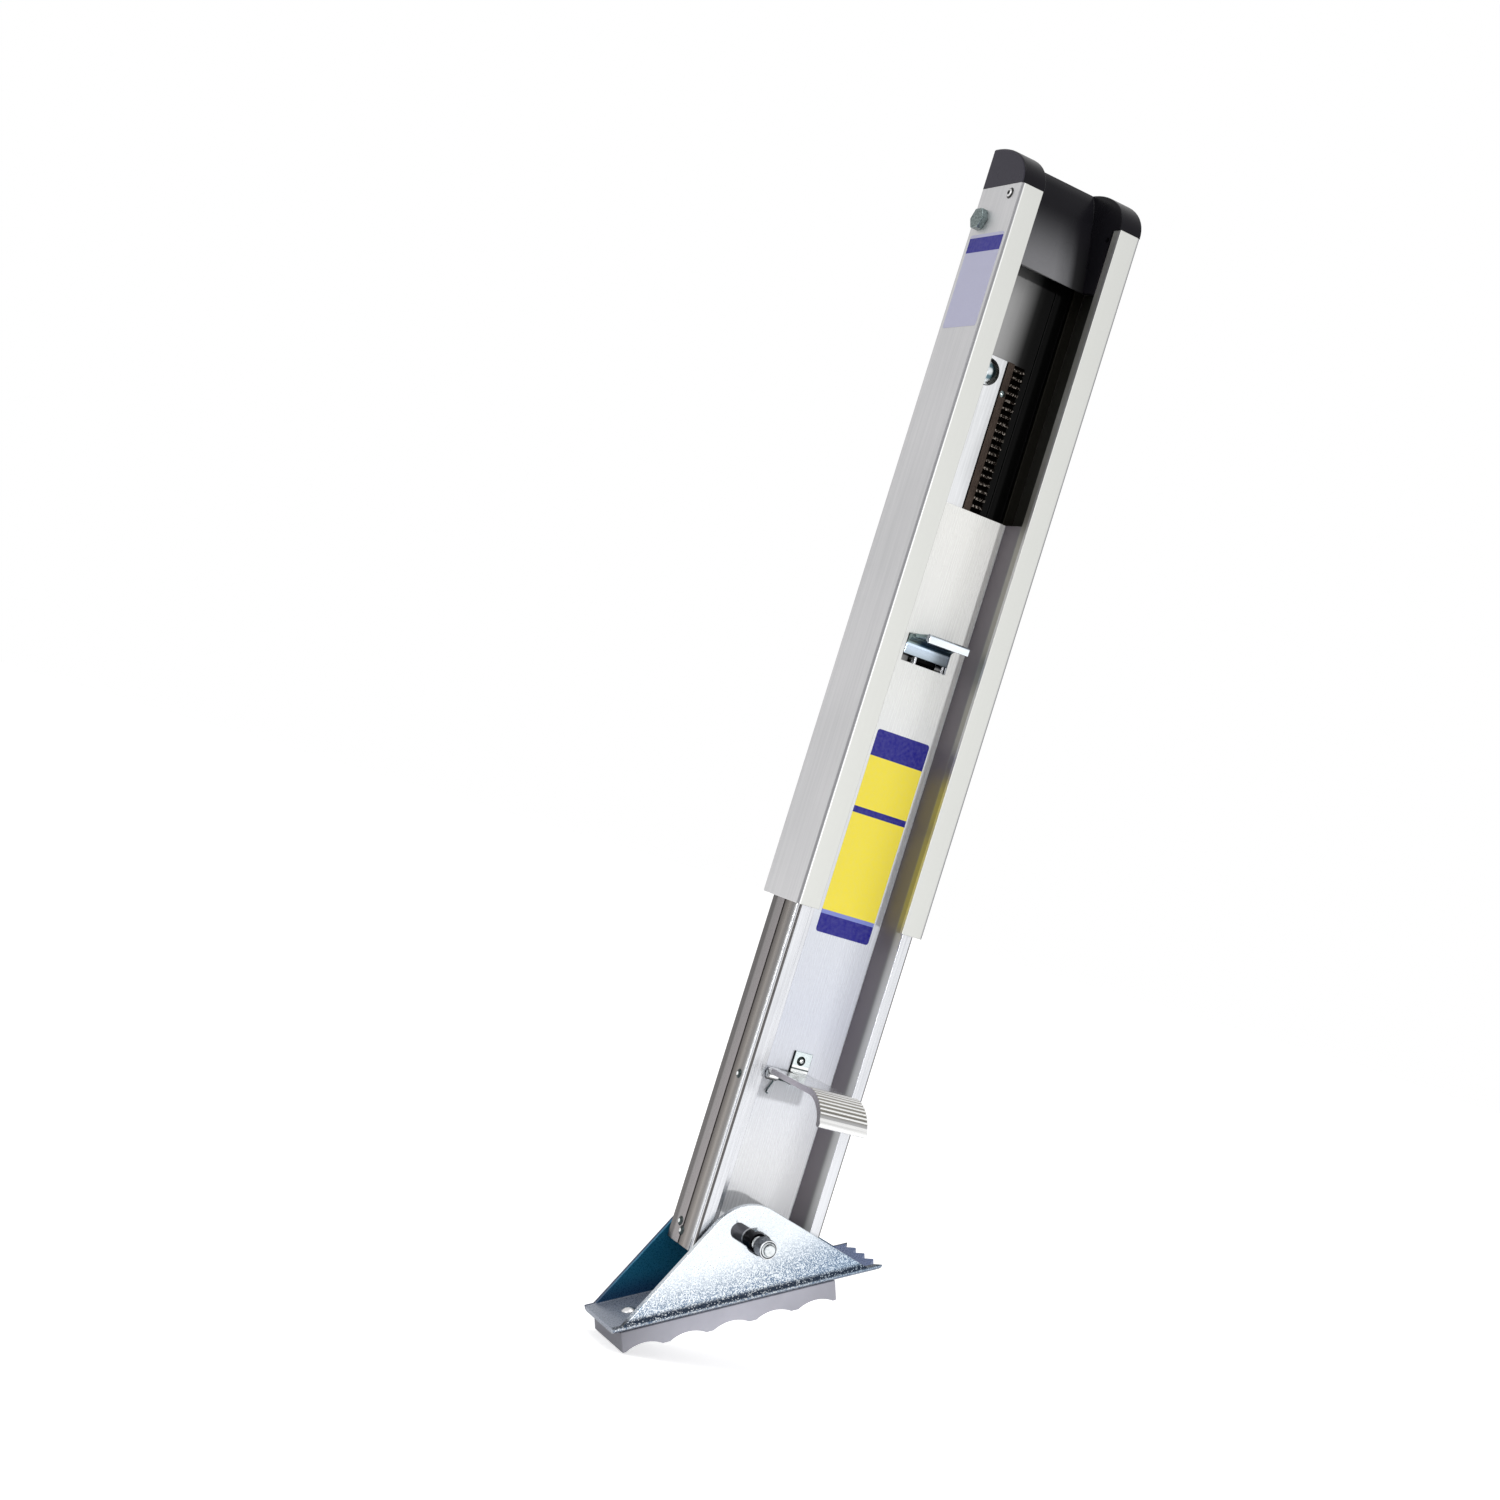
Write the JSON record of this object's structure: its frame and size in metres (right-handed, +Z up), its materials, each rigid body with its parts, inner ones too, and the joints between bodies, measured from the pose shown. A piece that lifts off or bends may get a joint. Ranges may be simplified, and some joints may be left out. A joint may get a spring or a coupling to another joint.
{
  "type": "ladder leveller",
  "caption": "Ladder leveller: a channel housing that bolts to a rail, a sliding leg locked by a rack and pawl, a foot pedal, and a swivelling shoe with a rubber tread.",
  "frame": {"origin": "on the housing's face that meets the ladder rail, on the housing's centre line and halfway between the two rail bolts", "axes": "+X away from the rail, +Z up the rail, +Y completes a right-handed frame"},
  "size_m": [0.1004, 0.1443, 0.6556],
  "materials": {
    "housing_aluminium": "satin, fine vertical grain",
    "leg_aluminium": "bright extruded, fine vertical grain",
    "pedal_aluminium": "bright extruded",
    "black_plastic": "moulded, light sheen",
    "zinc_steel": "bright zinc plate",
    "zinc_sheet": "zinc plate with a blue tint",
    "rivet_steel": "plain",
    "bright_strip": "mill finish",
    "dark_steel": "dark, lightly oiled",
    "spring_steel": "drawn wire",
    "sleeve_steel": "dark",
    "grey_rubber": "matt, ribbed"
  },
  "bodies": {
    "housing": {"housing_channel": "housing_aluminium", "end_cap": "black_plastic", "cap_rivets": "rivet_steel", "cross_bolt": "zinc_steel", "cross_bolt_nut": "zinc_steel", "backing_strip": "bright_strip", "rack": "dark_steel", "rack_rivets": "dark_steel", "rail_bolts": "zinc_steel", "rail_washers": "zinc_steel", "rail_lock_nuts": "zinc_steel", "lift_spring_inner": "spring_steel", "lift_spring_outer": "spring_steel"},
    "leg": {"inner_leg": "leg_aluminium", "spring_anchor_pin": "zinc_steel", "leg_screws": "zinc_steel", "pedal_bracket": "zinc_steel", "bracket_screw": "zinc_steel", "pedal_rod": "zinc_steel", "pedal_spring": "spring_steel", "pawl_pin": "zinc_steel", "pawl_spring": "spring_steel", "pivot_bolt": "zinc_steel", "pivot_spacer": "zinc_steel", "pivot_collar": "zinc_steel"},
    "pedal": {"foot_pedal": "pedal_aluminium"},
    "lever": {"release_lever": "zinc_sheet", "ratchet_pawl": "dark_steel"},
    "swivel": {"pivot_sleeve": "sleeve_steel"},
    "foot": {"shoe": "zinc_sheet", "tread_pad": "grey_rubber", "pad_rivets": "rivet_steel"}
  },
  "joints": [
    {"name": "leg_slide", "type": "slide", "parent": "housing", "child": "leg", "axis": [0, 0, 1], "range_m": [-0.0765, 0.09], "deforming": ["lift_spring_inner", "lift_spring_outer"]},
    {"name": "pedal_fold", "type": "hinge", "parent": "leg", "child": "pedal", "pos_m": [0.0165, 0, -0.3323], "axis": [0, -1, 0], "range_deg": [0, 75], "stiffness_Nm_per_rad": 0.02, "springref_deg": -28.65},
    {"name": "lever_press", "type": "hinge", "parent": "leg", "child": "lever", "pos_m": [0.0082, 0, -0.1019], "axis": [0, 1, 0], "range_deg": [0, 12], "stiffness_Nm_per_rad": 0.05, "springref_deg": -17.19},
    {"name": "foot_swivel", "type": "hinge", "parent": "leg", "child": "swivel", "pos_m": [0.021, 0, -0.4168], "axis": [1, 0, 0], "range_deg": [-46, 0]},
    {"name": "foot_slot_slide", "type": "slide", "parent": "swivel", "child": "foot", "axis": [0, 0.9563, -0.2924], "range_m": [0, 0.0164]}
  ]
}
